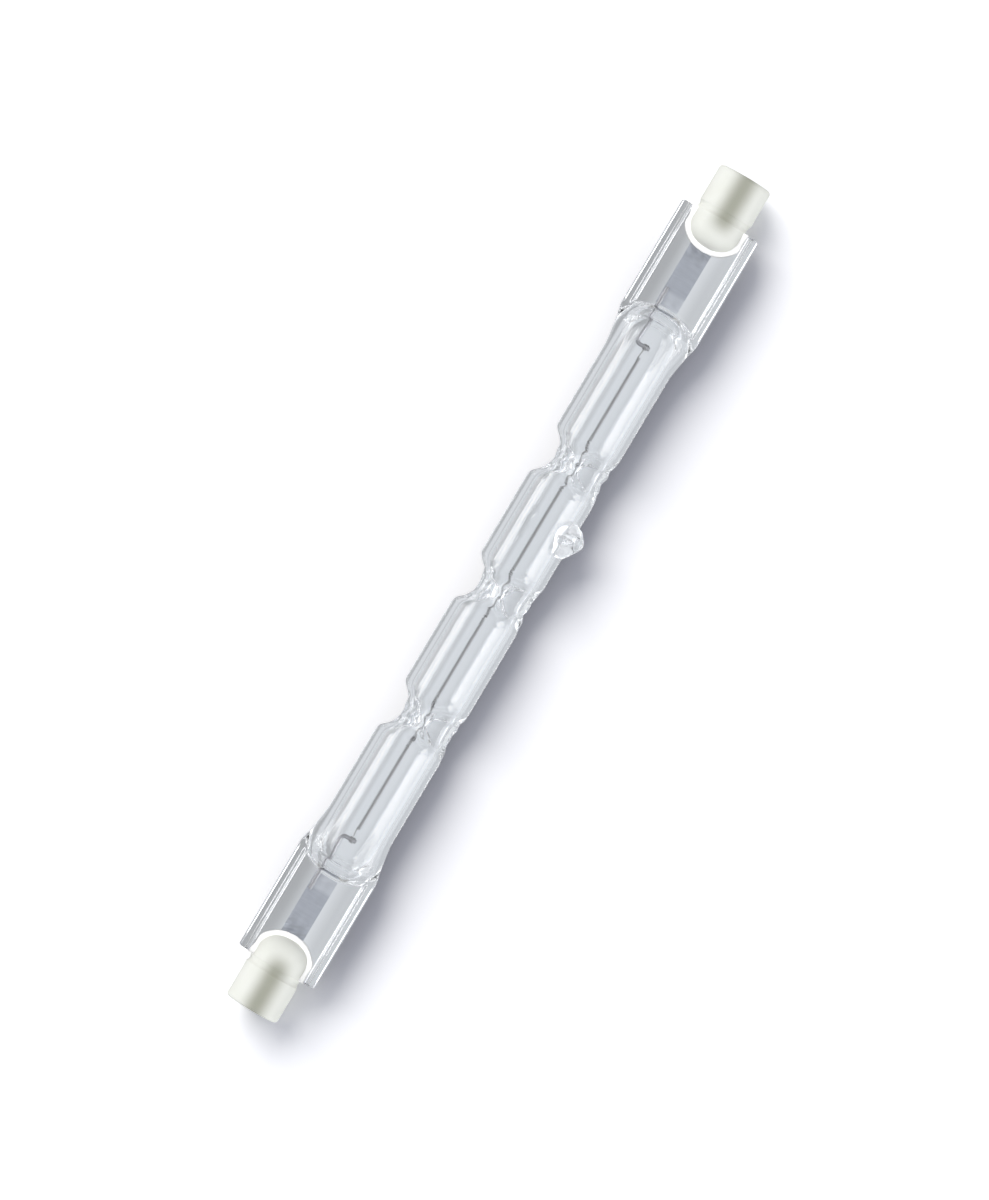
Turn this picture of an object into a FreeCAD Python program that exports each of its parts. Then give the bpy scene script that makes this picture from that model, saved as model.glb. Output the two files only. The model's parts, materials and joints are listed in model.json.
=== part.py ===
import FreeCAD, Part
import math
import os

os.makedirs("parts", exist_ok=True)

# A double-ended tungsten halogen lamp: a quartz tube with rings of dimples, pressed flat at both ends
# and cemented into two round ceramic caps. X runs along the lamp, Z is square to the flats of the press
# seals, and the origin is on the axis at mid-length. All sizes are in millimetres.

# Whole lamp and its quartz tube
overall_length = 117.6
tube_diameter = 8.9
tube_wall = 1.05

# Rings of three dimples that hold the filament on the axis
dimple_pitch = 18.0
dimple_length = 8.4
dimple_clearance = 0.1
dimple_ridge_dip = 0.25
dimple_to_seal = 16.0

# Exhaust tip, where the tube was sealed off after filling
tip_from_dimple = 8.4
tip_angle = 26.0
tip_base_diameter = 5.2
tip_neck_diameter = 3.5
tip_neck_height = 0.5
tip_height = 2.1
tip_end_diameter = 0.6
tip_bore_diameter = 0.9
tip_bore_height = 1.1

# Press seal: a thin web with a rib along each edge, and a sloping shoulder up to the round tube
seal_length = 14.35
seal_width = 10.7
seal_web = 2.4
rib_width = 1.3
rib_height = 4.0
rib_draft = 0.25
rib_round = 0.55
shoulder_bow = 1.8
shoulder_run = 2.0
flare_length = 6.0
flare_step = 0.2

# Hollow of the tube where it closes toward a seal
bore_taper = 3.6
bore_end_height = 0.8
bore_end_width = 5.2
bore_bluntness = 4
bore_to_foil = 0.7

# Molybdenum foil in the web, and the wires welded to it
foil_length = 10.7
foil_width = 3.0
foil_thickness = 0.06
foil_inset = 1.9
foil_shift = 0.3
lead_diameter = 0.5
lead_offset = 1.4
lead_hook = 3.5
lead_bend = 0.6
weld_length = 2.3
weld_flat = 0.03

# Tungsten filament: one slender coil with a straight tail at each end, wound onto the lead
coil_diameter = 0.5
tail_diameter = 0.2
tail_length = 1.0
tail_winding = 0.6

# Ceramic cap: a round barrel with a forked, domed inner end, cemented over the seal
cap_diameter = 7.1
cap_barrel = 5.95
cap_fork = 4.0
cap_dome = 2.6
cap_nose_diameter = 1.9
cap_edge = 0.5
waist_depth = 0.2
waist_length = 1.0
cement_gap = 0.15
skirt_width = 0.6
skirt_height = 3.6

# Contact at the bottom of the recess in the cap
recess_diameter = 3.3
recess_depth = 1.7
recess_flare = 0.35
contact_diameter = 2.5
contact_fit = 0.05
contact_thickness = 0.8
contact_edge = 0.25
lead_hole_diameter = 0.9

# Places along the lamp, for the end at +X
cap_end = overall_length / 2
slot_floor = cap_end - cap_barrel
fork_end = slot_floor - cap_fork
seal_end = slot_floor - cement_gap
seal_start = seal_end - seal_length
shoulder_centre = seal_start + shoulder_bow
flare_start = seal_start - flare_length
foil_start = seal_start + foil_inset
foil_end = foil_start + foil_length
bore_end = foil_start - bore_to_foil
bore_taper_start = bore_end - bore_taper
hook_x = seal_start - lead_hook
coil_end = hook_x - lead_diameter - tail_length
contact_face = cap_end - recess_depth
contact_back = contact_face - contact_thickness

# Radii and levels
tube_radius = tube_diameter / 2
bore_radius = tube_radius - tube_wall
coil_radius = coil_diameter / 2
lead_radius = lead_diameter / 2
cap_radius = cap_diameter / 2
recess_radius = recess_diameter / 2
contact_radius = contact_diameter / 2
flare_radius = seal_width / 2 - flare_step
seal_edge = seal_width / 2
web_level = seal_web / 2
rib_foot = seal_edge - rib_width
slot_level = web_level + cement_gap
dimple_depth = bore_radius - coil_radius - dimple_clearance
foil_level = weld_flat - lead_radius - foil_thickness / 2

# How far a cutting shape runs past what it cuts
overrun = 1.0

# How finely the tube's skins are drawn
LOBES = 3
SECTION_POINTS = 24
SECTION_KNOTS = list(range(SECTION_POINTS + 1))
DIMPLE_STEPS = 4
CLOSING_STEPS = 6
SKIN_DEGREE = 3
ANGLE_TOLERANCE = 0.01

ORIGIN = FreeCAD.Vector(0, 0, 0)
ALONG = FreeCAD.Vector(1, 0, 0)
ACROSS = FreeCAD.Vector(0, 1, 0)
UP = FreeCAD.Vector(0, 0, 1)


def point(x, y, z=0.0):
    return FreeCAD.Vector(x, y, z)


def line(start, end):
    return Part.makeLine(point(*start), point(*end))


def arc(start, middle, end):
    return Part.Arc(point(*start), point(*middle), point(*end)).toShape()


def rounding(start, end):
    """An arc in a turned profile that leaves its start parallel to the axis and bends to its end."""
    run = end[0] - start[0]
    rise = end[1] - start[1]
    half_turn = math.atan2(abs(rise), abs(run))
    radius = (run * run + rise * rise) / (2 * abs(rise))
    middle_run = math.copysign(radius * math.sin(half_turn), run)
    middle_rise = math.copysign(radius * (1 - math.cos(half_turn)), rise)
    return arc(start, (start[0] + middle_run, start[1] + middle_rise), end)


def turned(edges):
    return Part.Face(Part.Wire(edges)).revolve(ORIGIN, ALONG, 360)


def block(x_range, y_range, z_range):
    low, high = zip(x_range, y_range, z_range)
    return Part.makeBox(*(point(*high) - point(*low)), point(*low))


def rod(radius, start, end):
    return Part.makeCylinder(radius, end - start, point(start, 0), ALONG)


def mirrored(shape):
    return shape.mirror(ORIGIN, ALONG)


def at_both_ends(shape):
    return [shape, mirrored(shape)]


# Dimple rings stand at an even pitch about the middle, as many as the tube has room for.
ring_room = 2 * (seal_start - dimple_to_seal)
ring_count = 1 + int(ring_room / dimple_pitch)
ring_places = [(index - (ring_count - 1) / 2) * dimple_pitch for index in range(ring_count)]
ring_reach = ring_places[-1] + dimple_length / 2
tip_x = ring_places[-1] - tip_from_dimple


def dimple_share(x):
    """How much of its depth a dimple has at this place, a little more than asked, as the skin smooths it."""
    nearest = min(abs(x - place) for place in ring_places) / dimple_length
    row_step = 1 / (2 * DIMPLE_STEPS)
    smoothing = (2 + math.cos(math.pi * row_step) ** 2) / 3
    return math.cos(math.pi * min(nearest, 0.5)) ** 2 / smoothing


def section_poles(x, half_width, half_height):
    """Poles of a round or oval section, drawn in by three dimples where a ring stands."""
    points = []
    for index in range(SECTION_POINTS):
        angle = 2 * math.pi * index / SECTION_POINTS
        lobe = ((1 + math.cos(LOBES * angle)) / 2) ** 2
        dip = dimple_ridge_dip + (dimple_depth - dimple_ridge_dip) * lobe
        dip *= dimple_share(x)
        points.append(point(x, (half_width - dip) * math.cos(angle), (half_height - dip) * math.sin(angle)))
    section = Part.BSplineCurve()
    section.interpolate(Points=points, PeriodicFlag=True, Parameters=SECTION_KNOTS)
    return section.getPoles()


def row_places(closing_start, closing_end):
    """Where rows stand: close together in each ring and where the ends close, one between."""
    places = []
    for ring in ring_places:
        for step in range(-DIMPLE_STEPS, DIMPLE_STEPS + 1):
            places.append(ring + step * dimple_length / (2 * DIMPLE_STEPS))
    for first, second in zip(ring_places, ring_places[1:]):
        places.append((first + second) / 2)
    ends = [(ring_reach + closing_start) / 2]
    for step in range(CLOSING_STEPS + 1):
        ends.append(closing_start + (closing_end - closing_start) * step / CLOSING_STEPS)
    places += ends + [-end for end in ends]
    return sorted(places)


def skinned(rows):
    """A solid with one smooth skin over the rows and a flat face at each end."""
    row_knots = list(range(len(rows) - SKIN_DEGREE + 1))
    row_repeats = [1] * len(row_knots)
    row_repeats[0] = SKIN_DEGREE + 1
    row_repeats[-1] = SKIN_DEGREE + 1
    section_repeats = [1] * len(SECTION_KNOTS)
    section_repeats[0] = SKIN_DEGREE - 1
    section_repeats[-1] = SKIN_DEGREE - 1
    surface = Part.BSplineSurface()
    surface.buildFromPolesMultsKnots(
        rows, row_repeats, section_repeats, row_knots, SECTION_KNOTS, False, True, SKIN_DEGREE, SKIN_DEGREE
    )
    wall = surface.toShape()
    faces = [wall]
    for edge in wall.Edges:
        if edge.isClosed():
            faces.append(Part.Face(Part.Wire([edge])))
    shell = Part.makeShell(faces)
    shell.sewShape()
    solid = Part.makeSolid(shell)
    if solid.Volume < 0:
        solid.reverse()
    return solid


def outer_skin():
    """The tube's outside, widening toward each press seal."""
    rows = []
    for x in row_places(flare_start, shoulder_centre + overrun):
        share = min(max((abs(x) - flare_start) / flare_length, 0.0), 1.0)
        widening = share * share * (3 - 2 * share)
        half_width = tube_radius + (flare_radius - tube_radius) * widening
        rows.append(section_poles(x, half_width, tube_radius))
    return skinned(rows)


def bore():
    """The hollow of the tube, flattened toward each seal where the quartz was pressed together."""
    rows = []
    for x in row_places(bore_taper_start, bore_end):
        closing = (max(abs(x) - bore_taper_start, 0.0) / bore_taper) ** bore_bluntness
        half_width = bore_radius + (bore_end_width / 2 - bore_radius) * closing
        half_height = bore_radius + (bore_end_height / 2 - bore_radius) * closing
        rows.append(section_poles(x, half_width, half_height))
    return skinned(rows)


def press_seal():
    """The pressed end: web and ribs in one section, drawn from the shoulder to the cap."""
    crest = rib_height / 2
    side = [
        (rib_foot, web_level),
        (rib_foot + rib_draft, crest),
        (seal_edge, crest),
        (seal_edge, -crest),
        (rib_foot + rib_draft, -crest),
        (rib_foot, -web_level),
    ]
    outline = [point(seal_start, y, z) for y, z in side]
    outline += [point(seal_start, -y, -z) for y, z in side]
    section = Part.Face(Part.makePolygon(outline + outline[:1]))
    seal = section.extrude(ALONG * seal_length)
    outer_edges = []
    for edge in seal.Edges:
        runs_along = edge.tangentAt(edge.FirstParameter).isParallel(ALONG, ANGLE_TOLERANCE)
        if runs_along and abs(edge.CenterOfMass.y) > seal_edge - rib_draft:
            outer_edges.append(edge)
    return seal.makeFillet(rib_round, outer_edges)


def jaw():
    """What the upper jaw presses out of the tube's end: a bowed edge that slopes up to the round tube."""
    rise = tube_radius - web_level
    side = seal_edge + overrun
    far = shoulder_centre + 3 * overrun + shoulder_run
    bow = arc((seal_start, side, web_level), (shoulder_centre, 0, web_level), (seal_start, -side, web_level))
    sides = [
        line((seal_start, -side, web_level), (far, -side, web_level)),
        line((far, -side, web_level), (far, side, web_level)),
        line((far, side, web_level), (seal_start, side, web_level)),
    ]
    slope = point(-shoulder_run, 0, rise) * ((rise + overrun) / rise)
    return Part.Face(Part.Wire([bow] + sides)).extrude(slope)


def tip_placed(shape):
    """Stands a shape drawn along X out of the tube where the exhaust tip is."""
    shape.rotate(ORIGIN, UP, 90)
    shape.rotate(ORIGIN, ALONG, 180 - tip_angle)
    shape.translate(ALONG * tip_x)
    return shape


def exhaust_tip():
    """The stub of the exhaust tube, drawn down to a point in the flame."""
    base = tip_base_diameter / 2
    neck = tip_neck_diameter / 2
    end = tip_end_diameter / 2
    root = bore_radius
    waist = tube_radius + tip_neck_height
    top = tube_radius + tip_height
    stub = turned([
        line((root, 0), (root, base)),
        arc((root, base), (waist, neck), (top, end)),
        line((top, end), (top, 0)),
        line((top, 0), (root, 0)),
    ])
    return tip_placed(stub)


def tip_bore():
    """The narrow hole through the tube's wall that the lamp was filled through."""
    radius = tip_bore_diameter / 2
    start = bore_radius - overrun
    length = tube_radius + tip_bore_height - start
    end = start + length
    return tip_placed(turned([
        line((start, 0), (start, radius)),
        line((start, radius), (end, radius / 2)),
        line((end, radius / 2), (end, 0)),
        line((end, 0), (start, 0)),
    ]))


def foil():
    """Thin molybdenum strip that carries the current through the sealed web."""
    y_range = (foil_shift - foil_width / 2, foil_shift + foil_width / 2)
    z_range = (foil_level - foil_thickness / 2, foil_level + foil_thickness / 2)
    return block((foil_start, foil_end), y_range, z_range)


def inner_lead():
    """Wire from the foil into the tube, bent across the axis where the filament's tail is wound on it."""
    outer_end = (foil_start + weld_length, lead_offset)
    bend_start = (hook_x + lead_bend, lead_offset)
    turn = lead_bend * (1 - math.sqrt(0.5))
    bend_middle = (hook_x + turn, lead_offset - turn)
    bend_end = (hook_x, lead_offset - lead_bend)
    inner_end = (hook_x, -tail_winding)
    path = Part.Wire([
        line(outer_end, bend_start),
        arc(bend_start, bend_middle, bend_end),
        line(bend_end, inner_end),
    ])
    section = Part.Face(Part.Wire(Part.makeCircle(lead_radius, point(*outer_end), ALONG)))
    return path.makePipe(section).cut(foil())


def outer_lead():
    """Wire from the foil through the cap to the back of the contact."""
    return rod(lead_radius, foil_end - weld_length, contact_back).cut(foil())


def filament():
    """The coil as a rod of its outside size, with thin tails wound round the leads."""
    tail = rod(tail_diameter / 2, coil_end - overrun, hook_x - lead_radius)
    winding_start = point(hook_x, -tail_winding / 2)
    winding = Part.makeCylinder(lead_radius + tail_diameter, tail_winding, winding_start, ACROSS)
    core = Part.makeCylinder(lead_radius, tail_winding, winding_start, ACROSS)
    end = winding.fuse(tail).cut(core)
    return rod(coil_radius, -coil_end, coil_end).fuse(at_both_ends(end)).removeSplitter()


def envelope():
    """Tube, press seals and exhaust tip in one piece of quartz, closed round the leads and foils."""
    jaws = [jaw(), jaw().mirror(ORIGIN, UP)]
    pressed = outer_skin().cut(jaws + [mirrored(one) for one in jaws])
    body = pressed.fuse(at_both_ends(press_seal()) + [exhaust_tip()])
    hollow = bore().fuse(tip_bore())
    for piece in (inner_lead(), foil(), outer_lead()):
        hollow = hollow.fuse(at_both_ends(piece))
    return body.cut(hollow).removeSplitter()


def cap_outside():
    """The cap's turned outside, before its slot and holes."""
    dome_foot = fork_end + cap_dome
    nose_radius = cap_nose_diameter / 2
    waist_end = slot_floor + waist_length
    edge_foot = cap_end - cap_edge
    return turned([
        line((fork_end, 0), (fork_end, nose_radius)),
        rounding((dome_foot, cap_radius), (fork_end, nose_radius)),
        line((dome_foot, cap_radius), (slot_floor, cap_radius)),
        arc(
            (slot_floor, cap_radius),
            (slot_floor + waist_length / 2, cap_radius - waist_depth),
            (waist_end, cap_radius),
        ),
        line((waist_end, cap_radius), (edge_foot, cap_radius)),
        rounding((edge_foot, cap_radius), (cap_end, cap_radius - cap_edge)),
        line((cap_end, cap_radius - cap_edge), (cap_end, 0)),
        line((cap_end, 0), (fork_end, 0)),
    ])


def slot():
    """The gap of the cap's fork, which takes the seal's web."""
    side = cap_radius + overrun
    return block((fork_end - overrun, slot_floor), (-side, side), (-slot_level, slot_level))


def cap():
    recess = rod(recess_radius, contact_face, cap_end)
    seat = rod(contact_radius + contact_fit, contact_back, contact_face)
    mouth_radius = recess_radius + recess_flare
    mouth = Part.makeCone(recess_radius, mouth_radius, recess_flare, ALONG * (cap_end - recess_flare), ALONG)
    lead_hole = rod(lead_hole_diameter / 2, slot_floor, contact_back)
    return cap_outside().cut([slot(), recess, mouth, seat, lead_hole])


def cement():
    """White cement that fills the fork round the web and stands round it as a low skirt, out to the ribs."""
    dome_foot = fork_end + cap_dome
    skirt_end = fork_end - skirt_width
    skirt_radius = cap_radius + skirt_width
    nose_radius = cap_nose_diameter / 2
    skirt = turned([
        line((skirt_end, 0), (skirt_end, nose_radius)),
        rounding((dome_foot, skirt_radius), (skirt_end, nose_radius)),
        line((dome_foot, skirt_radius), (slot_floor, skirt_radius)),
        line((slot_floor, skirt_radius), (slot_floor, 0)),
        line((slot_floor, 0), (skirt_end, 0)),
    ])
    level = block(
        (skirt_end, slot_floor),
        (-skirt_radius, skirt_radius),
        (-skirt_height / 2, skirt_height / 2),
    )
    filling = cap_outside().common(slot())
    outside = skirt.common(level).cut(cap_outside())
    return outside.fuse(filling).cut([press_seal(), outer_lead()]).removeSplitter()


def contact():
    """Metal button at the bottom of the recess, welded to the outer lead."""
    rim = contact_face - contact_edge
    flat_radius = contact_radius - contact_edge
    return turned([
        line((contact_back, 0), (contact_back, contact_radius)),
        line((contact_back, contact_radius), (rim, contact_radius)),
        rounding((rim, contact_radius), (contact_face, flat_radius)),
        line((contact_face, flat_radius), (contact_face, 0)),
        line((contact_face, 0), (contact_back, 0)),
    ])


nodes = {"quartz_envelope": envelope(), "filament": filament()}
end_pieces = {
    "inner_lead": inner_lead(),
    "foil": foil(),
    "outer_lead": outer_lead(),
    "ceramic_cap": cap(),
    "cement": cement(),
    "contact": contact(),
}
for name, shape in end_pieces.items():
    nodes[name + "_right"] = shape
    nodes[name + "_left"] = mirrored(shape)

for name, shape in nodes.items():
    Part.makeCompound(shape.Solids).exportStep(f"parts/{name}.step")
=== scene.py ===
import bpy
import json
import math
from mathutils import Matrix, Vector

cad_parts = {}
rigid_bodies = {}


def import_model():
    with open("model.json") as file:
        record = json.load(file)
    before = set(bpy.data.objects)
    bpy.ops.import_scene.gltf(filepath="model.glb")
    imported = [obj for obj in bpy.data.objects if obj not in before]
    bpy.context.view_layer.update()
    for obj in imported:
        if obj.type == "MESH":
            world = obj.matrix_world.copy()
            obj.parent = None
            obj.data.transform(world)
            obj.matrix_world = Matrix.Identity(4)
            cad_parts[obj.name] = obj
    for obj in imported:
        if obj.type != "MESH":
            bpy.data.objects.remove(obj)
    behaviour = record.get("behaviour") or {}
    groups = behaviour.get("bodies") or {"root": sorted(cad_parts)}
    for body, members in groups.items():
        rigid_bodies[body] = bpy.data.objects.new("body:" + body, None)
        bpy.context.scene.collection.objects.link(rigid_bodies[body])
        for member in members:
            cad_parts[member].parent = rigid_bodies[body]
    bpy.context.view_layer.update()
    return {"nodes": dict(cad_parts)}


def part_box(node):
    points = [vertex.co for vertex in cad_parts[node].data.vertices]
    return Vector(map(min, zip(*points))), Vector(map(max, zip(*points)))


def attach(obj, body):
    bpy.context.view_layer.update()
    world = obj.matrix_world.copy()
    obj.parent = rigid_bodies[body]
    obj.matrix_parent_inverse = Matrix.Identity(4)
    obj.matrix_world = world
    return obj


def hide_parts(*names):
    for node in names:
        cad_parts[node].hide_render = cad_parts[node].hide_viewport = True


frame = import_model()

# Quartz envelope. One length of clear fused quartz tube, squeezed by three-pronged jaws into rings
# of dimples that hold the coil on the axis, and pressed flat at both ends into ribbed seals.
# The stub of the exhaust tube, melted shut, stands on its side.
MM = 0.001
bulb_low, bulb_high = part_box("quartz_envelope")
seal_end = bulb_high.x
seal_edge = bulb_high.y
tube_radius = -bulb_low.z
tube_wall = 1.05 * MM
section_points = 160
dimple_rings = (-18 * MM, 0.0, 18 * MM)
dimple_length = 7.2 * MM
dimple_depth = 3.05 * MM
ridge_dip = 0.25 * MM
prong_sharpness = 1.2
ripple_depth = 0.28 * MM
ripple_core = 1.2 * MM
ripple_length = 0.27 * MM
cross_ripple_length = 0.41 * MM
flare_start = 32.35 * MM
flare_growth = 0.7 * MM
seal_start = 38.35 * MM
shoulder_centre = 40.15 * MM
shoulder_bow = 1.8 * MM
shoulder_run = 2.0 * MM
web_level = 1.2 * MM
web_dish = 0.03 * MM
rib_level = 2.0 * MM
rib_round = 0.55 * MM
rib_crest = 4.62 * MM
rib_foot = 3.95 * MM
end_round = 0.3 * MM


def eased(value, start, end):
    share = min(max((value - start) / (end - start), 0.0), 1.0)
    return share * share * (3 - 2 * share)


def graded_rows(stretches):
    """Places along half the lamp, mirrored to the other half, from each stretch's end and number of steps."""
    half = [0.0]
    for end, count in stretches:
        start = half[-1]
        half += [start + (end - start) * step / count for step in range(1, count + 1)]
    return [-place for place in reversed(half[1:])] + half


def tube_blank(name, radius, points, rows):
    """A plain closed tube along X, cut across at each row."""
    bpy.ops.object.select_all(action="DESELECT")
    bpy.ops.mesh.primitive_cylinder_add(
        vertices=points,
        radius=radius,
        depth=rows[-1] - rows[0],
        end_fill_type="NGON",
        location=((rows[0] + rows[-1]) / 2, 0, 0),
        rotation=(0, math.pi / 2, 0),
    )
    blank = bpy.context.object
    blank.name = name
    bpy.ops.object.transform_apply(location=True, rotation=True, scale=True)
    bpy.ops.object.mode_set(mode="EDIT")
    for place in rows[1:-1]:
        bpy.ops.mesh.select_all(action="SELECT")
        bpy.ops.mesh.bisect(plane_co=(place, 0, 0), plane_no=(1, 0, 0))
    bpy.ops.object.mode_set(mode="OBJECT")
    return blank


def form(piece, shape):
    """Draws every point of a blank to its place in the finished shape, from its row and its turn about X."""
    for point in piece.data.vertices:
        point.co = shape(point.co.x, math.atan2(point.co.z, point.co.y))
    piece.data.update()


def dimple_dip(x, turn):
    """How far the jaws push the wall in at a place: three prongs a ring, one of them facing +Y."""
    nearest = min(abs(x - ring) for ring in dimple_rings)
    if nearest >= dimple_length / 2:
        return 0.0
    prong = ((1 + math.cos(3 * turn)) / 2) ** prong_sharpness
    press = math.cos(math.pi * nearest / dimple_length) ** 2
    return (ridge_dip + (dimple_depth - ridge_dip) * prong) * press


def chill_ripple(x, turn):
    """Shallow ripples that the cold jaws leave in the skin of the quartz round each ring."""
    nearest = min(abs(x - ring) for ring in dimple_rings)
    share = 1 - eased(nearest, ripple_core, dimple_length / 2)
    wave = math.sin(x / ripple_length + 2.2 * math.sin(3 * turn + 1))
    cross_wave = math.sin(x / cross_ripple_length - 5 * turn)
    return ripple_depth * share * (2 + (wave + cross_wave)) / 4


def half_width(x):
    return tube_radius + flare_growth * eased(abs(x), flare_start, seal_start)


def seal_outline(turn):
    """Point on the outline of the pressed seal: a flat web with a rounded rib along each edge."""
    quarter = math.asin(min(1.0, abs(math.sin(turn))))
    rib_share = quarter / (math.pi / 4)
    side_share = 0.2
    corner_share = 0.55
    crest_share = 0.62
    if rib_share < side_share:
        y = seal_edge
        z = (rib_level - rib_round) * rib_share / side_share
    elif rib_share < corner_share:
        corner = (rib_share - side_share) / (corner_share - side_share) * math.pi / 2
        y = seal_edge - rib_round + rib_round * math.cos(corner)
        z = rib_level - rib_round + rib_round * math.sin(corner)
    elif rib_share < crest_share:
        crest = (rib_share - corner_share) / (crest_share - corner_share)
        y = seal_edge - rib_round + (rib_crest - seal_edge + rib_round) * crest
        z = rib_level
    elif rib_share < 1:
        flank = (rib_share - crest_share) / (1 - crest_share)
        y = rib_crest + (rib_foot - rib_crest) * flank
        z = web_level + (rib_level - web_level) * (1 + math.cos(math.pi * flank)) / 2
    else:
        across = math.cos(quarter) / math.cos(math.pi / 4)
        y = rib_foot * across
        z = web_level - web_dish * (1 - across**2)
    return math.copysign(y, math.cos(turn)), math.copysign(z, math.sin(turn))


def seal_normal(turn):
    step = math.pi / section_points
    before = seal_outline(turn - step)
    after = seal_outline(turn + step)
    along = Vector((after[0] - before[0], after[1] - before[1])).normalized()
    return along.y, -along.x


def pressed_wall(x, turn):
    """Outside of the envelope: a dimpled tube that the press draws flat beyond the shoulder."""
    dip = dimple_dip(x, turn) + chill_ripple(x, turn)
    tube_y = (half_width(x) - dip) * math.cos(turn)
    tube_z = (tube_radius - dip) * math.sin(turn)
    seal_y, seal_z = seal_outline(turn)
    bow = shoulder_bow * (seal_y / seal_edge) ** 2
    pressed = eased(abs(x), shoulder_centre - bow - shoulder_run, shoulder_centre - bow)
    rounding = max(0.0, abs(x) - (seal_end - end_round))
    inset = end_round - math.sqrt(end_round**2 - min(rounding, end_round) ** 2)
    normal_y, normal_z = seal_normal(turn)
    y = tube_y + (seal_y - tube_y) * pressed - normal_y * inset
    z = tube_z + (seal_z - tube_z) * pressed - normal_z * inset
    return x, y, z


middle_ring_end = 4.2 * MM
outer_ring_start = 13.8 * MM
outer_ring_end = 22.2 * MM
shoulder_rows_start = 36.2 * MM
shoulder_rows_end = 40.4 * MM
outer_rows = graded_rows(
    [
        (middle_ring_end, 22),
        (outer_ring_start, 4),
        (outer_ring_end, 44),
        (flare_start, 4),
        (shoulder_rows_start, 8),
        (shoulder_rows_end, 34),
        (seal_end - end_round, 5),
        (seal_end, 6),
    ]
)
envelope = tube_blank("envelope", tube_radius, section_points, outer_rows)
form(envelope, pressed_wall)

# Bore of the envelope. The hollow of the quartz tube: it follows the outside at the wall's thickness,
# dimples and all, and the press nips it shut before the foils.
bore_points = 112
bore_radius = tube_radius - tube_wall
bore_taper_start = 35.95 * MM
bore_end = 39.55 * MM
bore_end_level = 0.4 * MM
bore_end_side = 1.8 * MM
bore_end_round = 0.35 * MM


def bore_wall(x, turn):
    dip = dimple_dip(x, turn)
    run = max(0.0, (abs(x) - bore_taper_start) / (bore_end - bore_taper_start))
    rounding = max(0.0, abs(x) - (bore_end - bore_end_round))
    inset = bore_end_round - math.sqrt(bore_end_round**2 - min(rounding, bore_end_round) ** 2)
    y = (bore_radius + (bore_end_side - bore_radius) * run**2 - dip - inset) * math.cos(turn)
    z = (bore_radius + (bore_end_level - bore_radius) * run**4 - dip - inset) * math.sin(turn)
    return x, y, z


bore_rows = graded_rows(
    [
        (middle_ring_end, 12),
        (outer_ring_start, 4),
        (outer_ring_end, 24),
        (flare_start, 4),
        (bore_taper_start, 5),
        (bore_end - bore_end_round, 14),
        (bore_end, 5),
    ]
)
bore = tube_blank("bore", bore_radius, bore_points, bore_rows)
form(bore, bore_wall)

# Exhaust tip. The stub of the narrow quartz tube that the lamp was pumped and filled through, fused to
# the wall that faces away from the single prongs. It was drawn off in a flame, which closed its hole.
tip_place = 9.6 * MM
tip_lean = math.radians(26)
tip_out = Vector((0, -math.cos(tip_lean), math.sin(tip_lean)))
tip_side = Vector((0, math.sin(tip_lean), math.cos(tip_lean)))
tip_root = 3.5 * MM
tip_neck = 4.95 * MM
tip_end = 6.52 * MM
tip_base_radius = 2.55 * MM
tip_neck_radius = 1.85 * MM
tip_end_radius = 0.32 * MM
tip_pull = 0.4 * MM
tip_stretch = 1.15
tip_round_start = 0.85
tip_round_run = 0.15
tip_bluntness = 0.95
tip_ripple = 0.05
tip_cross_ripple = 0.04
tip_bore_radius = 0.45 * MM
tip_bore_root = 2.6 * MM
tip_bore_end = 5.2 * MM
tip_bore_bluntness = 0.98


def tip_point(height, turn, radius):
    pull = tip_pull * eased(height, tip_root, tip_end)
    across = Vector((tip_stretch * radius * math.cos(turn) + pull, 0, 0))
    return Vector((tip_place, 0, 0)) + tip_out * height + tip_side * radius * math.sin(turn) + across


def drawn_tip(height, turn):
    """Outside of the tip: a flared root, a neck and a cone that ends in a small round point."""
    if height < tip_neck:
        flare = (tip_neck - height) / (tip_neck - tip_root)
        radius = tip_neck_radius + (tip_base_radius - tip_neck_radius) * flare
    else:
        run = (height - tip_neck) / (tip_end - tip_neck)
        radius = tip_neck_radius + (tip_end_radius - tip_neck_radius) * run
        radius *= math.sqrt(1 - max(0.0, (run - tip_round_start) / tip_round_run) ** 2 * tip_bluntness)
    ripple = 1 + tip_ripple * math.sin(3 * turn + 900 * height)
    ripple += tip_cross_ripple * math.sin(5 * turn - 2600 * height)
    return tip_point(height, turn, radius * ripple)


def tip_hollow(height, turn):
    """The hole through the tube's wall, closed toward the point."""
    run = (height - tip_bore_root) / (tip_bore_end - tip_bore_root)
    return tip_point(height, turn, tip_bore_radius * math.sqrt(1 - tip_bore_bluntness * run**2))


def spaced(start, end, count):
    return [start + (end - start) * step / count for step in range(count + 1)]


def keep_in(piece, other, operation):
    """Fuses or cuts one shape with another, and leaves the first as one mesh."""
    bpy.ops.object.select_all(action="DESELECT")
    bpy.context.view_layer.objects.active = piece
    piece.select_set(True)
    joint = piece.modifiers.new("joint", "BOOLEAN")
    joint.operation = operation
    joint.solver = "EXACT"
    joint.object = other
    bpy.ops.object.modifier_apply(modifier=joint.name)
    bpy.data.objects.remove(other)


tip = tube_blank("tip", MM, 48, spaced(tip_root, tip_end, 26))
form(tip, drawn_tip)
keep_in(envelope, tip, "UNION")
tip_core = tube_blank("tip_core", MM, 24, spaced(tip_bore_root, tip_bore_end, 10))
form(tip_core, tip_hollow)
keep_in(bore, tip_core, "UNION")

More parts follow.
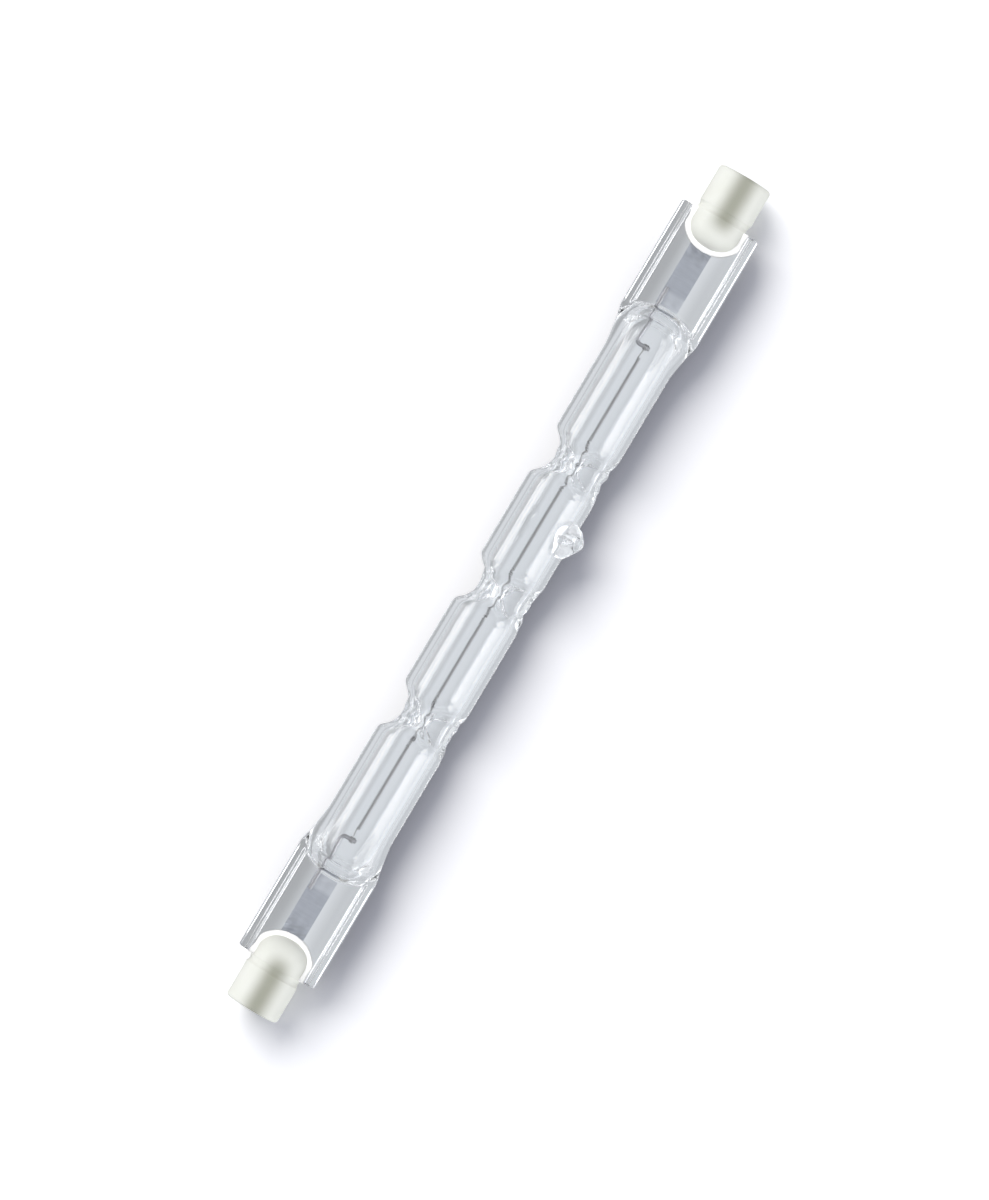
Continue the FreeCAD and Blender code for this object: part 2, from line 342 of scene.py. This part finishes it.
for shell, inward in ((envelope, False), (bore, True)):
    bpy.ops.object.select_all(action="DESELECT")
    bpy.context.view_layer.objects.active = shell
    shell.select_set(True)
    bpy.ops.object.mode_set(mode="EDIT")
    bpy.ops.mesh.select_all(action="SELECT")
    bpy.ops.mesh.normals_make_consistent(inside=inward)
    bpy.ops.object.mode_set(mode="OBJECT")
bpy.ops.object.select_all(action="DESELECT")
bore.select_set(True)
envelope.select_set(True)
bpy.context.view_layer.objects.active = envelope
bpy.ops.object.join()
bpy.ops.object.shade_smooth_by_angle(angle=math.radians(40))


def shader(name):
    """A new material, with its node tree and its main shader."""
    finish = bpy.data.materials.new(name)
    finish.use_nodes = True
    return finish, finish.node_tree, finish.node_tree.nodes["Principled BSDF"]


def add_node(tree, kind, **values):
    """A node with values on its named sockets; an underscore in a name stands for a space."""
    made = tree.nodes.new(kind)
    for name, value in values.items():
        made.inputs[name.replace("_", " ")].default_value = value
    return made


def tone(tree, source, low, high, start=0.0, end=1.0):
    """Maps a value onto a range of colours or greys with a ramp."""
    ramp = tree.nodes.new("ShaderNodeValToRGB")
    ramp.color_ramp.elements[0].position = start
    ramp.color_ramp.elements[1].position = end
    ramp.color_ramp.elements[0].color = low
    ramp.color_ramp.elements[1].color = high
    tree.links.new(source, ramp.inputs["Fac"])
    return ramp.outputs["Color"]


def stretched_coordinates(tree, scale):
    """Object coordinates, scaled along each axis so that a pattern is drawn out or kept fine."""
    place = tree.nodes.new("ShaderNodeTexCoord")
    mapping = add_node(tree, "ShaderNodeMapping", Scale=scale)
    tree.links.new(place.outputs["Object"], mapping.inputs["Vector"])
    return mapping.outputs["Vector"]


def grey(value):
    return (value, value, value, 1)


quartz, tree, glass = shader("clear_quartz")
glass.inputs["Transmission Weight"].default_value = 1.0
glass.inputs["IOR"].default_value = 1.458
draw_lines = add_node(tree, "ShaderNodeTexNoise", Scale=1.0, Detail=3.0)
tree.links.new(stretched_coordinates(tree, (60, 900, 900)), draw_lines.inputs["Vector"])
tree.links.new(
    tone(tree, draw_lines.outputs["Fac"], (0.965, 0.975, 0.985, 1), (0.985, 0.99, 1.0, 1), 0.3, 0.7),
    glass.inputs["Base Color"],
)
tree.links.new(
    tone(tree, draw_lines.outputs["Fac"], grey(0.0), grey(0.03), 0.4, 0.8),
    glass.inputs["Roughness"],
)
draw_bump = add_node(tree, "ShaderNodeBump", Strength=0.06, Distance=0.1 * MM)
tree.links.new(draw_lines.outputs["Fac"], draw_bump.inputs["Height"])
tree.links.new(draw_bump.outputs["Normal"], glass.inputs["Normal"])
envelope.data.materials.clear()
envelope.data.materials.append(quartz)
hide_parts("quartz_envelope")
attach(envelope, "root")

# Filament. One long coil of fine tungsten wire on the axis, held off the glass by the dimples.
# Each end of the wire runs straight to its lead and is wound round it.
coil_end = 33.35 * MM
coil_radius = 0.25 * MM
wire_radius = 0.06 * MM
coil_pitch = 0.24 * MM
hook_place = 34.85 * MM
lead_radius = 0.25 * MM
tail_radius = 0.08 * MM
tail_turns = 3


def wound_wire(name, axis, start, radius, wire, pitch, turns, steps):
    """A ring of wire section, screwed along an axis into a coil."""
    bpy.ops.object.select_all(action="DESELECT")
    bpy.ops.mesh.primitive_circle_add(vertices=7, radius=wire, fill_type="NGON")
    coil = bpy.context.object
    coil.name = name
    lead_in = math.atan2(pitch, 2 * math.pi * radius)
    if axis == "X":
        coil.location = (0, radius, 0)
        coil.rotation_euler = (0, lead_in, 0)
    else:
        coil.location = (radius, 0, 0)
        coil.rotation_euler = (lead_in, 0, 0)
    bpy.ops.object.transform_apply(location=True, rotation=True, scale=True)
    screw = coil.modifiers.new("winding", "SCREW")
    screw.axis = axis
    screw.screw_offset = pitch
    screw.iterations = turns
    screw.steps = steps
    screw.render_steps = steps
    screw.use_merge_vertices = False
    bpy.ops.object.modifier_apply(modifier=screw.name)
    coil.location = start
    bpy.ops.object.transform_apply(location=True, rotation=False, scale=False)
    return coil


def drawn_wire(name, start, end, radius):
    """A short straight wire between two places, with its ends softened."""
    bpy.ops.object.select_all(action="DESELECT")
    run = Vector(end) - Vector(start)
    bpy.ops.mesh.primitive_cylinder_add(
        vertices=10,
        radius=radius,
        depth=run.length,
        location=(Vector(start) + Vector(end)) / 2,
        rotation=run.to_track_quat("Z", "Y").to_euler(),
    )
    wire = bpy.context.object
    wire.name = name
    bpy.ops.object.transform_apply(location=True, rotation=True, scale=True)
    bpy.ops.object.mode_set(mode="EDIT")
    bpy.ops.mesh.select_all(action="SELECT")
    bpy.ops.mesh.bevel(offset=radius * 0.3, segments=2)
    bpy.ops.object.mode_set(mode="OBJECT")
    return wire


def joined(name, parts):
    bpy.ops.object.select_all(action="DESELECT")
    for part in parts:
        part.select_set(True)
    bpy.context.view_layer.objects.active = parts[0]
    bpy.ops.object.join()
    whole = bpy.context.object
    whole.name = name
    bpy.ops.object.mode_set(mode="EDIT")
    bpy.ops.mesh.select_all(action="SELECT")
    bpy.ops.mesh.normals_make_consistent(inside=False)
    bpy.ops.object.mode_set(mode="OBJECT")
    bpy.ops.object.shade_smooth_by_angle(angle=math.radians(50))
    return whole


coil_turns = round(2 * coil_end / coil_pitch)
winding_radius = coil_radius - wire_radius
filament_parts = [
    wound_wire("coil", "X", (-coil_end, 0, 0), winding_radius, wire_radius, coil_pitch, coil_turns, 10)
]
for end in (-1, 1):
    grip_radius = lead_radius + tail_radius
    grip_pitch = 2.3 * tail_radius
    grip_start = (end * hook_place, -grip_pitch * tail_turns / 2, 0)
    filament_parts.append(
        wound_wire("grip", "Y", grip_start, grip_radius, tail_radius, grip_pitch, tail_turns, 20)
    )
    tail_start = (end * (coil_end - coil_pitch), winding_radius, 0)
    tail_end = (end * hook_place, 0, grip_radius)
    filament_parts.append(drawn_wire("tail", tail_start, tail_end, tail_radius))
filament = joined("coiled_filament", filament_parts)

drawn_metal = bpy.data.node_groups.new("drawn_metal", "ShaderNodeTree")
drawn_metal.interface.new_socket("Stretch", in_out="INPUT", socket_type="NodeSocketVector")
drawn_metal.interface.new_socket("Dark", in_out="INPUT", socket_type="NodeSocketColor")
drawn_metal.interface.new_socket("Bright", in_out="INPUT", socket_type="NodeSocketColor")
drawn_metal.interface.new_socket("Smooth", in_out="INPUT", socket_type="NodeSocketFloat")
drawn_metal.interface.new_socket("Rough", in_out="INPUT", socket_type="NodeSocketFloat")
drawn_metal.interface.new_socket("Color", in_out="OUTPUT", socket_type="NodeSocketColor")
drawn_metal.interface.new_socket("Roughness", in_out="OUTPUT", socket_type="NodeSocketFloat")
drawn_metal.interface.new_socket("Height", in_out="OUTPUT", socket_type="NodeSocketFloat")
group_in = drawn_metal.nodes.new("NodeGroupInput")
group_out = drawn_metal.nodes.new("NodeGroupOutput")
place = drawn_metal.nodes.new("ShaderNodeTexCoord")
drawn = drawn_metal.nodes.new("ShaderNodeVectorMath")
drawn.operation = "MULTIPLY"
streaks = add_node(drawn_metal, "ShaderNodeTexNoise", Scale=1.0, Detail=4.0, Roughness=0.6)
shade = drawn_metal.nodes.new("ShaderNodeMix")
shade.data_type = "RGBA"
polish = drawn_metal.nodes.new("ShaderNodeMapRange")
link = drawn_metal.links.new
link(place.outputs["Object"], drawn.inputs[0])
link(group_in.outputs["Stretch"], drawn.inputs[1])
link(drawn.outputs["Vector"], streaks.inputs["Vector"])
link(streaks.outputs["Fac"], shade.inputs["Factor"])
link(group_in.outputs["Dark"], shade.inputs["A"])
link(group_in.outputs["Bright"], shade.inputs["B"])
link(streaks.outputs["Fac"], polish.inputs["Value"])
link(group_in.outputs["Smooth"], polish.inputs["To Min"])
link(group_in.outputs["Rough"], polish.inputs["To Max"])
link(shade.outputs["Result"], group_out.inputs["Color"])
link(polish.outputs["Result"], group_out.inputs["Roughness"])
link(streaks.outputs["Fac"], group_out.inputs["Height"])


def metal_finish(name, stretch, dark, bright, smooth, rough, bump):
    """A metal with drawing or rolling marks, drawn out along one axis."""
    finish, tree, metal = shader(name)
    marks = tree.nodes.new("ShaderNodeGroup")
    marks.node_tree = drawn_metal
    marks.inputs["Stretch"].default_value = stretch
    marks.inputs["Dark"].default_value = dark
    marks.inputs["Bright"].default_value = bright
    marks.inputs["Smooth"].default_value = smooth
    marks.inputs["Rough"].default_value = rough
    relief = add_node(tree, "ShaderNodeBump", Strength=bump, Distance=0.05 * MM)
    metal.inputs["Metallic"].default_value = 1.0
    tree.links.new(marks.outputs["Color"], metal.inputs["Base Color"])
    tree.links.new(marks.outputs["Roughness"], metal.inputs["Roughness"])
    tree.links.new(marks.outputs["Height"], relief.inputs["Height"])
    tree.links.new(relief.outputs["Normal"], metal.inputs["Normal"])
    return finish


tungsten = metal_finish(
    "tungsten_wire", (900, 5000, 5000), (0.30, 0.30, 0.31, 1), (0.54, 0.54, 0.55, 1), 0.4, 0.6, 0.2
)
filament.data.materials.clear()
filament.data.materials.append(tungsten)
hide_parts("filament")
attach(filament, "root")

# Leads. Drawn molybdenum wire, bent to a hook inside the tube and run straight out through the cap.
# Each is spot-welded to its foil, and the glass is pressed round it.
lead_finish = metal_finish(
    "drawn_lead_wire", (200, 5000, 5000), (0.34, 0.34, 0.36, 1), (0.56, 0.56, 0.58, 1), 0.3, 0.5, 0.3
)
for side in ("left", "right"):
    for lead in ("inner_lead", "outer_lead"):
        wire = frame["nodes"][f"{lead}_{side}"]
        wire.data.materials.clear()
        wire.data.materials.append(lead_finish)

# Foils. Rolled molybdenum strip, thin enough to follow the quartz as it cools, sealed flat in the web.
# The strip is puckered where the leads are welded to it.
foil_thickness = 0.03 * MM
flat_pucker = 0.012
cap_pucker = 0.1
weld_pucker = 0.03
foil_finish = metal_finish(
    "rolled_foil", (2500, 260, 2000), (0.48, 0.51, 0.57, 1), (0.70, 0.73, 0.79, 1), 0.4, 0.6, 0.5
)
tree = foil_finish.node_tree
rolled = next(node for node in tree.nodes if node.type == "GROUP")
metal = tree.nodes["Principled BSDF"]
place = tree.nodes.new("ShaderNodeTexCoord")
axes = tree.nodes.new("ShaderNodeSeparateXYZ")
along = tree.nodes.new("ShaderNodeMath")
along.operation = "ABSOLUTE"
weld_end = add_node(tree, "ShaderNodeMapRange", From_Min=42.4 * MM, From_Max=41.9 * MM, To_Max=0.8)
bright_end = tree.nodes.new("ShaderNodeMix")
bright_end.data_type = "RGBA"
bright_end.inputs["B"].default_value = (0.80, 0.83, 0.88, 1)
link = tree.links.new
link(place.outputs["Object"], axes.inputs["Vector"])
link(axes.outputs["X"], along.inputs[0])
link(along.outputs["Value"], weld_end.inputs["Value"])
link(weld_end.outputs["Result"], bright_end.inputs["Factor"])
link(rolled.outputs["Color"], bright_end.inputs["A"])
link(bright_end.outputs["Result"], metal.inputs["Base Color"])


def pucker(along, across):
    """How far the strip is drawn out of flat: creased at the cap, nearly smooth in the middle."""
    creased = flat_pucker + cap_pucker * eased(along, 0.5, 0.8) + weld_pucker * (1 - eased(along, 0.05, 0.2))
    folds = math.sin(34 * along + 3 * across) + math.sin(71 * along - 8 * across) + math.sin(15 * across)
    return creased * MM * folds / 2


for side, end in (("left", -1), ("right", 1)):
    low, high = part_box(f"foil_{side}")
    bpy.ops.object.select_all(action="DESELECT")
    bpy.ops.mesh.primitive_grid_add(x_subdivisions=110, y_subdivisions=24, size=1)
    strip = bpy.context.object
    strip.name = f"foil_strip_{side}"
    for point in strip.data.vertices:
        along = 0.5 + end * point.co.x
        across = point.co.y
        x = low.x + (high.x - low.x) * (0.5 + point.co.x)
        y = low.y + (high.y - low.y) * (0.5 + across)
        point.co = (x, y, (low.z + high.z) / 2 + pucker(along, across))
    thick = strip.modifiers.new("thickness", "SOLIDIFY")
    thick.thickness = foil_thickness
    thick.offset = 0.0
    bpy.ops.object.modifier_apply(modifier=thick.name)
    bpy.ops.object.shade_smooth_by_angle(angle=math.radians(40))
    strip.data.materials.clear()
    strip.data.materials.append(foil_finish)
    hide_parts(f"foil_{side}")
    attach(strip, "root")

# Ceramic caps. Turned and fired steatite barrels, unglazed, with a fork that grips the web of the seal
# and a recess in the end for the lampholder's contact. A darker olive band is painted along the top and
# underside
# of each barrel: partly the steatite's own tone, partly painted shade where the top of the barrel gets less
# light.
# Place and size of the painted olive band: part the steatite's tone, part painted shade on the top and
# underside.
band_shift = 0.3 * MM
band_side = 2.3 * MM
band_core = 0.1 * MM
band_start = 50.4 * MM
band_full = 53.2 * MM
fired_body = bpy.data.node_groups.new("fired_body", "ShaderNodeTree")
fired_body.interface.new_socket("Clean", in_out="INPUT", socket_type="NodeSocketColor")
fired_body.interface.new_socket("Toned", in_out="INPUT", socket_type="NodeSocketColor")
fired_body.interface.new_socket("Grain Scale", in_out="INPUT", socket_type="NodeSocketFloat")
fired_body.interface.new_socket("Color", in_out="OUTPUT", socket_type="NodeSocketColor")
fired_body.interface.new_socket("Roughness", in_out="OUTPUT", socket_type="NodeSocketFloat")
fired_body.interface.new_socket("Height", in_out="OUTPUT", socket_type="NodeSocketFloat")
group_in = fired_body.nodes.new("NodeGroupInput")
group_out = fired_body.nodes.new("NodeGroupOutput")
place = fired_body.nodes.new("ShaderNodeTexCoord")
clouds = add_node(fired_body, "ShaderNodeTexNoise", Scale=420.0, Detail=3.0)
grain = add_node(fired_body, "ShaderNodeTexNoise", Detail=5.0, Roughness=0.7)
shade = fired_body.nodes.new("ShaderNodeMix")
shade.data_type = "RGBA"
matt = add_node(fired_body, "ShaderNodeMapRange", To_Min=0.45, To_Max=0.75)
link = fired_body.links.new
link(place.outputs["Object"], clouds.inputs["Vector"])
link(place.outputs["Object"], grain.inputs["Vector"])
link(group_in.outputs["Grain Scale"], grain.inputs["Scale"])
link(clouds.outputs["Fac"], shade.inputs["Factor"])
link(group_in.outputs["Clean"], shade.inputs["A"])
link(group_in.outputs["Toned"], shade.inputs["B"])
link(grain.outputs["Fac"], matt.inputs["Value"])
link(shade.outputs["Result"], group_out.inputs["Color"])
link(matt.outputs["Result"], group_out.inputs["Roughness"])
link(grain.outputs["Fac"], group_out.inputs["Height"])


def fired_finish(name, clean, toned, grain_scale, bump):
    """An unglazed white ceramic or cement with soft clouds of tone and a fine grain."""
    finish, tree, body = shader(name)
    fired = tree.nodes.new("ShaderNodeGroup")
    fired.node_tree = fired_body
    fired.inputs["Clean"].default_value = clean
    fired.inputs["Toned"].default_value = toned
    fired.inputs["Grain Scale"].default_value = grain_scale
    relief = add_node(tree, "ShaderNodeBump", Strength=bump, Distance=0.05 * MM)
    tree.links.new(fired.outputs["Color"], body.inputs["Base Color"])
    tree.links.new(fired.outputs["Roughness"], body.inputs["Roughness"])
    tree.links.new(fired.outputs["Height"], relief.inputs["Height"])
    tree.links.new(relief.outputs["Normal"], body.inputs["Normal"])
    return finish


ceramic = fired_finish("fired_steatite", (0.85, 0.86, 0.80, 1), (0.79, 0.80, 0.72, 1), 5000.0, 0.15)
tree = ceramic.node_tree
fired = next(node for node in tree.nodes if node.type == "GROUP")
body = tree.nodes["Principled BSDF"]
place = tree.nodes.new("ShaderNodeTexCoord")
axes = tree.nodes.new("ShaderNodeSeparateXYZ")
band_centre = tree.nodes.new("ShaderNodeMath")
band_centre.operation = "ADD"
band_centre.inputs[1].default_value = band_shift
across = tree.nodes.new("ShaderNodeMath")
across.operation = "ABSOLUTE"
along = tree.nodes.new("ShaderNodeMath")
along.operation = "ABSOLUTE"
crown = add_node(tree, "ShaderNodeMapRange", From_Min=band_side, From_Max=band_core)
crown.interpolation_type = "SMOOTHSTEP"
barrel = add_node(tree, "ShaderNodeMapRange", From_Min=band_start, From_Max=band_full)
barrel.interpolation_type = "SMOOTHSTEP"
# Mask of the olive band along the top and underside of the barrel: part tone, part painted shade.
toned = tree.nodes.new("ShaderNodeMath")
toned.operation = "MULTIPLY"
# Darkens the band by a fixed olive factor: the steatite's own tone together with painted shade on the
# less-lit top.
tone_and_painted_shade = tree.nodes.new("ShaderNodeMix")
tone_and_painted_shade.data_type = "RGBA"
tone_and_painted_shade.blend_type = "MULTIPLY"
tone_and_painted_shade.inputs["B"].default_value = (0.46, 0.46, 0.41, 1)
link = tree.links.new
link(place.outputs["Object"], axes.inputs["Vector"])
link(axes.outputs["Y"], band_centre.inputs[0])
link(band_centre.outputs["Value"], across.inputs[0])
link(axes.outputs["X"], along.inputs[0])
link(across.outputs["Value"], crown.inputs["Value"])
link(along.outputs["Value"], barrel.inputs["Value"])
link(crown.outputs["Result"], toned.inputs[0])
link(barrel.outputs["Result"], toned.inputs[1])
link(toned.outputs["Value"], tone_and_painted_shade.inputs["Factor"])
link(fired.outputs["Color"], tone_and_painted_shade.inputs["A"])
link(tone_and_painted_shade.outputs["Result"], body.inputs["Base Color"])
for side in ("left", "right"):
    cap = frame["nodes"][f"ceramic_cap_{side}"]
    cap.data.materials.clear()
    cap.data.materials.append(ceramic)

# Cement. White lamp cement that holds the cap to the seal, pressed wet into the fork round the web and
# wiped back by hand. It glows weakly, because no light is traced to it through the glass.
cement_finish = fired_finish("lamp_cement", (0.94, 0.94, 0.92, 1), (0.88, 0.88, 0.86, 1), 2600.0, 0.5)
cement_body = cement_finish.node_tree.nodes["Principled BSDF"]
cement_body.inputs["Emission Color"].default_value = (0.95, 0.95, 0.93, 1)
cement_body.inputs["Emission Strength"].default_value = 0.32
bead_nose = 48.3 * MM
bead_end = 52.85 * MM
bead_side = 4.0 * MM
bead_rise = 0.62 * MM
bead_sink = 0.04 * MM
bead_bluntness = 1.45
bead_fullness = 0.95
bead_lump = 0.016
bead_crown = 0.45
bead_level = 0.82
bead_level_lump = 0.06


def wiped_bead(x, turn):
    """Outside of the cement on one face of the web: a lumpy low dome, flat underneath."""
    run = (x - bead_nose) / (bead_end - bead_nose)
    plan = math.sqrt(max(0.0, 1 - (1 - min(1.0, run * bead_bluntness)) ** 2))
    lumps = math.sin(2900 * x + 2 * turn) + math.sin(1700 * x - 5 * turn) + math.sin(9 * turn)
    y = bead_side * plan * (bead_fullness + bead_lump * lumps) * math.cos(turn)
    crown = max(0.0, math.sin(turn)) ** bead_crown
    level = bead_level + bead_level_lump * lumps
    z = web_level - bead_sink + bead_rise * crown * min(1.0, 1.6 * plan) * level
    return x, y, z


for side, end in (("left", -1), ("right", 1)):
    beads = []
    for face in (-1, 1):
        bead = tube_blank("bead", MM, 96, spaced(bead_nose, bead_end, 44))
        form(bead, wiped_bead)
        bead.scale = (end, 1, face)
        bpy.ops.object.transform_apply(location=False, rotation=False, scale=True)
        beads.append(bead)
    fill = joined(f"cement_bead_{side}", beads)
    fill.data.materials.clear()
    fill.data.materials.append(cement_finish)
    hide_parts(f"cement_{side}")
    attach(fill, "root")

# Contacts. Turned nickel buttons at the bottom of the recesses in the caps, welded to the outer leads.
# The sprung pins of the lampholder press on them.
contact_finish = metal_finish(
    "turned_nickel", (3000, 900, 900), (0.52, 0.51, 0.48, 1), (0.72, 0.71, 0.68, 1), 0.25, 0.45, 0.3
)
for side in ("left", "right"):
    button = frame["nodes"][f"contact_{side}"]
    button.data.materials.clear()
    button.data.materials.append(contact_finish)

# Studio. A white sweep under the lamp, one large soft light from the upper left and weak bluish light all
# round. Low screens light only the lamp's sides and one end, and a narrow strip only its glass.
# In and through the glass the sweep shows a glow that is graded across the lamp.
floor_level = bulb_low.z
floor_size = 6.0
glow_reach = 30
glow_strength = 3.0
glow_share = 0.75
bpy.ops.object.select_all(action="DESELECT")
bpy.ops.mesh.primitive_plane_add(size=floor_size, location=(0, 0, floor_level))
floor = bpy.context.object
floor.name = "floor"
paper = bpy.data.materials.new("white_paper")
paper.use_nodes = True
tree = paper.node_tree
tree.nodes.clear()
surface = tree.nodes.new("ShaderNodeOutputMaterial")
seen = tree.nodes.new("ShaderNodeLightPath")
matte = add_node(tree, "ShaderNodeBsdfDiffuse", Color=(0.86, 0.86, 0.86, 1))
for_camera = add_node(tree, "ShaderNodeBsdfDiffuse", Color=(1.78, 1.78, 1.78, 1))
glow = add_node(tree, "ShaderNodeEmission", Color=(0.925, 0.962, 1, 1))
through_glass = tree.nodes.new("ShaderNodeMixShader")
through_glass.inputs["Fac"].default_value = glow_share
place = tree.nodes.new("ShaderNodeTexCoord")
axes = tree.nodes.new("ShaderNodeSeparateXYZ")
sweep = add_node(tree, "ShaderNodeMapRange", From_Min=-glow_reach * MM, From_Max=glow_reach * MM)
shades = tree.nodes.new("ShaderNodeValToRGB")
ramp = shades.color_ramp
ramp.elements[0].color = grey(0.9)
ramp.elements[1].color = grey(0.27)
for place_across, shade_there in (
    (-20, 0.75), (-14, 0.27), (-5, 0.26), (-2.8, 0.25), (-1.4, 0.31), (1.2, 0.32), (2.0, 0.23),
    (3.0, 0.16), (4.8, 0.12), (6.2, 0.27), (9.6, 0.28), (10.8, 0.14), (12.2, 0.28),
):
    stop = ramp.elements.new((place_across + glow_reach) / (2 * glow_reach))
    stop.color = grey(shade_there)
raised = tree.nodes.new("ShaderNodeMath")
raised.operation = "MULTIPLY"
raised.inputs[1].default_value = glow_strength
any_view = tree.nodes.new("ShaderNodeMath")
any_view.operation = "MAXIMUM"
pick_glass = tree.nodes.new("ShaderNodeMixShader")
pick_camera = tree.nodes.new("ShaderNodeMixShader")
link = tree.links.new
link(place.outputs["Object"], axes.inputs["Vector"])
link(axes.outputs["Y"], sweep.inputs["Value"])
link(sweep.outputs["Result"], shades.inputs["Fac"])
link(shades.outputs["Color"], raised.inputs[0])
link(raised.outputs["Value"], glow.inputs["Strength"])
link(matte.outputs["BSDF"], through_glass.inputs[1])
link(glow.outputs["Emission"], through_glass.inputs[2])
link(seen.outputs["Is Glossy Ray"], any_view.inputs[0])
link(seen.outputs["Is Transmission Ray"], any_view.inputs[1])
link(any_view.outputs["Value"], pick_glass.inputs["Fac"])
link(matte.outputs["BSDF"], pick_glass.inputs[1])
link(through_glass.outputs["Shader"], pick_glass.inputs[2])
link(seen.outputs["Is Camera Ray"], pick_camera.inputs["Fac"])
link(pick_glass.outputs["Shader"], pick_camera.inputs[1])
link(for_camera.outputs["BSDF"], pick_camera.inputs[2])
link(pick_camera.outputs["Shader"], surface.inputs["Surface"])
floor.data.materials.append(paper)

world = bpy.data.worlds.new("studio")
bpy.context.scene.world = world
world.use_nodes = True
tree = world.node_tree
tree.nodes.clear()
surface = tree.nodes.new("ShaderNodeOutputWorld")
seen = tree.nodes.new("ShaderNodeLightPath")
fill = add_node(tree, "ShaderNodeBackground", Color=(0.85, 0.875, 1.0, 1), Strength=0.31)
backdrop = add_node(tree, "ShaderNodeBackground", Color=(1, 1, 1, 1), Strength=1.0)
around = add_node(tree, "ShaderNodeBackground", Color=(0.97, 0.98, 1, 1))
place = tree.nodes.new("ShaderNodeTexCoord")
axes = tree.nodes.new("ShaderNodeSeparateXYZ")
far_side = add_node(tree, "ShaderNodeMapRange", From_Min=-0.4, From_Max=0.7, To_Min=0.75, To_Max=0.38)
reflected = tree.nodes.new("ShaderNodeMath")
reflected.operation = "MAXIMUM"
pick_around = tree.nodes.new("ShaderNodeMixShader")
pick_backdrop = tree.nodes.new("ShaderNodeMixShader")
link = tree.links.new
link(seen.outputs["Is Glossy Ray"], reflected.inputs[0])
link(seen.outputs["Is Transmission Ray"], reflected.inputs[1])
link(place.outputs["Generated"], axes.inputs["Vector"])
link(axes.outputs["Y"], far_side.inputs["Value"])
link(far_side.outputs["Result"], around.inputs["Strength"])
link(reflected.outputs["Value"], pick_around.inputs["Fac"])
link(fill.outputs["Background"], pick_around.inputs[1])
link(around.outputs["Background"], pick_around.inputs[2])
link(seen.outputs["Is Camera Ray"], pick_backdrop.inputs["Fac"])
link(pick_around.outputs["Shader"], pick_backdrop.inputs[1])
link(backdrop.outputs["Background"], pick_backdrop.inputs[2])
link(pick_backdrop.outputs["Shader"], surface.inputs["Surface"])


def soft_light(name, toward, strength, spread, colour):
    """A large, far, round soft light that shines from a direction."""
    lamp = bpy.data.lights.new(name, "SUN")
    lamp.energy = strength
    lamp.angle = math.radians(spread)
    lamp.color = colour
    stand = bpy.data.objects.new(name, lamp)
    stand.rotation_euler = Vector(toward).to_track_quat("Z", "Y").to_euler()
    bpy.context.scene.collection.objects.link(stand)
    return stand


lit_pieces = bpy.data.collections.new("lit_pieces")
for piece in bpy.data.objects:
    if piece.type == "MESH" and piece != floor:
        lit_pieces.objects.link(piece)
key_light = soft_light("key_light", (0.56, 0.87, 1.0), 1.74, 46, (1.0, 0.99, 0.97))
key_light.visible_glossy = False
key_light.visible_transmission = False
left_screen = soft_light("left_screen", (0.0, 0.99, 0.13), 0.7, 30, (1.0, 1.0, 1.0))
right_screen = soft_light("right_screen", (0.0, -0.996, 0.07), 2.5, 58, (1.0, 1.0, 1.0))
overhead = soft_light("overhead", (0.0, 0.0, 1.0), 0.35, 70, (0.97, 0.98, 1.0))
end_screen = soft_light("end_screen", (-0.93, 0.0, 0.37), 1.15, 40, (1.0, 1.0, 1.0))
end_screen.visible_glossy = False
end_screen.visible_transmission = False
for screen in (left_screen, right_screen, overhead, end_screen):
    screen.light_linking.receiver_collection = lit_pieces
glass_pieces = bpy.data.collections.new("glass_pieces")
glass_pieces.objects.link(envelope)
left_strip = soft_light("left_strip", (0.0, 0.906, 0.423), 0.3, 16, (1.0, 1.0, 1.0))
left_strip.light_linking.receiver_collection = glass_pieces

# Camera. Straight above the lamp, turned so that the lamp lies across the frame from corner to corner.
# It stands far off, so that both ends come out the same size.
frame_height = 145.9 * MM
camera_height = 1.1
camera_turn = math.radians(-59.2)
camera_x = -0.92 * MM
camera_y = 0.04 * MM
light_bounces = 48
camera_data = bpy.data.cameras.new("camera")
camera_data.sensor_fit = "VERTICAL"
camera_data.sensor_height = 24.0
camera_data.lens = camera_data.sensor_height * camera_height / frame_height
camera_data.clip_end = 20.0
camera = bpy.data.objects.new("camera", camera_data)
camera.location = (camera_x, camera_y, camera_height)
camera.rotation_euler = (0, 0, camera_turn)
bpy.context.scene.collection.objects.link(camera)
bpy.context.scene.camera = camera
bpy.context.scene.view_settings.view_transform = "Standard"
bpy.context.scene.cycles.max_bounces = light_bounces
bpy.context.scene.cycles.transmission_bounces = light_bounces
bpy.context.scene.cycles.glossy_bounces = light_bounces
bpy.context.scene.cycles.caustics_refractive = False
bpy.context.scene.cycles.caustics_reflective = False
